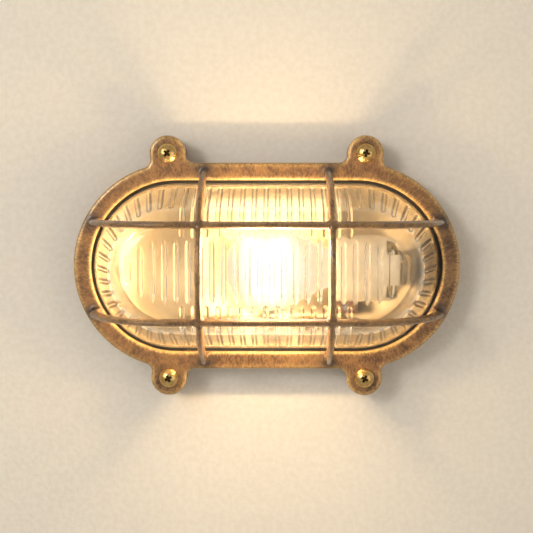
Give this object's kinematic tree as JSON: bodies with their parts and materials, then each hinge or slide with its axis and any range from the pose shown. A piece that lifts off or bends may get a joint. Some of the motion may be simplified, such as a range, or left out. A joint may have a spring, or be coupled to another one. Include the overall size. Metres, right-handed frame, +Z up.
{
  "type": "bulkhead light",
  "caption": "Oval wall bulkhead light: cast brass base and caged guard over a fluted pressed-glass lens, with a screw lamp lying level in a porcelain holder",
  "frame": {"origin": "on the wall plane behind the middle of the oval", "axes": "+X to the right along the oval, +Z up, +Y into the wall; the front looks to -Y"},
  "size_m": [0.275, 0.103, 0.1856],
  "materials": {
    "brass_aged": "aged cast brass with a brown patina, worn bright on its edges",
    "brass_bright": "polished brass",
    "brass_raw": "plain rolled brass, lightly tarnished",
    "steel_plated": "nickel-plated steel",
    "rubber_black": "matt black rubber",
    "glass_clear": "clear pressed glass with moulded flutes and ribs",
    "porcelain_white": "white glazed porcelain",
    "phenolic_brown": "brown moulded phenolic plastic",
    "lamp_opal": "opal lamp, lit warm white"
  },
  "bodies": {
    "root": {"base_casting": "brass_aged", "wall_seal": "rubber_black", "lens_seat_gasket": "rubber_black", "glass_lens": "glass_clear", "guard_gasket": "rubber_black", "guard_frame": "brass_aged", "guard_screws": "brass_bright", "lamp": "lamp_opal", "lampholder_body": "porcelain_white", "lampholder_shell": "steel_plated", "middle_contact": "brass_raw", "contact_screw": "brass_bright", "holder_terminals": "brass_raw", "holder_terminal_screws": "brass_bright", "holder_nipple": "brass_bright", "nipple_nut": "brass_bright", "nipple_washer": "steel_plated", "holder_bracket": "brass_raw", "bracket_screws": "brass_bright", "terminal_block": "phenolic_brown", "terminal_sleeves": "brass_raw", "terminal_screws": "brass_bright", "block_screw": "steel_plated", "earth_screw": "brass_bright", "earth_washer": "brass_bright", "cable_grommet": "rubber_black"}
  },
  "joints": []
}
